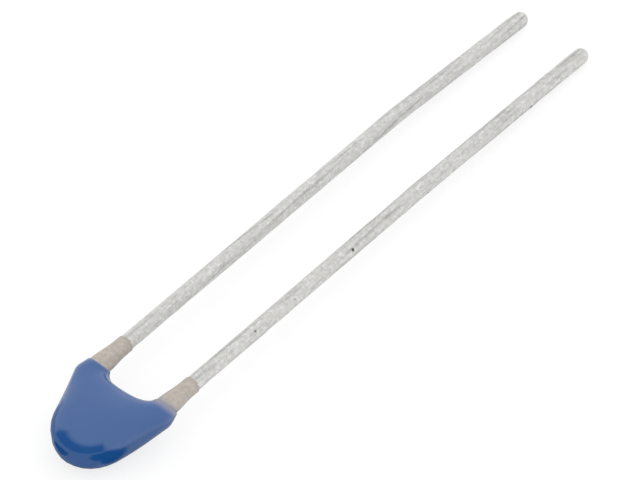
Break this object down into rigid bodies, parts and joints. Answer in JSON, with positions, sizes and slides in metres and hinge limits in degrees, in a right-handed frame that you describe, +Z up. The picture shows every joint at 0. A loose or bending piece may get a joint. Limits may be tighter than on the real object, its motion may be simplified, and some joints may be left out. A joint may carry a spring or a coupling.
{
  "type": "ntc thermistor",
  "caption": "Blue lacquered bead thermistor on two long tinned wire leads; its resistance falls as it warms.",
  "frame": {"origin": "on the ground under the middle of the part as it lies at rest", "axes": "+X across the leads, towards the right lead; +Y along the leads, towards their tips; +Z up, on the front face"},
  "size_m": [0.0034, 0.0222, 0.0016],
  "materials": {
    "ceramic": "matt, sintered dark grey oxide",
    "silver": "fired silver, dull",
    "solder": "smooth tin solder",
    "tinned_wire": "hot-tinned copper wire, streaky satin",
    "beige_lacquer": "matt beige-grey lacquer",
    "blue_lacquer": "smooth blue dipping lacquer"
  },
  "bodies": {
    "root": {"ceramic_disc": "ceramic", "front_silver": "silver", "back_silver": "silver", "front_solder": "solder", "back_solder": "solder", "left_lead": "tinned_wire", "right_lead": "tinned_wire", "base_coat": "beige_lacquer", "top_coat": "blue_lacquer"}
  },
  "joints": []
}
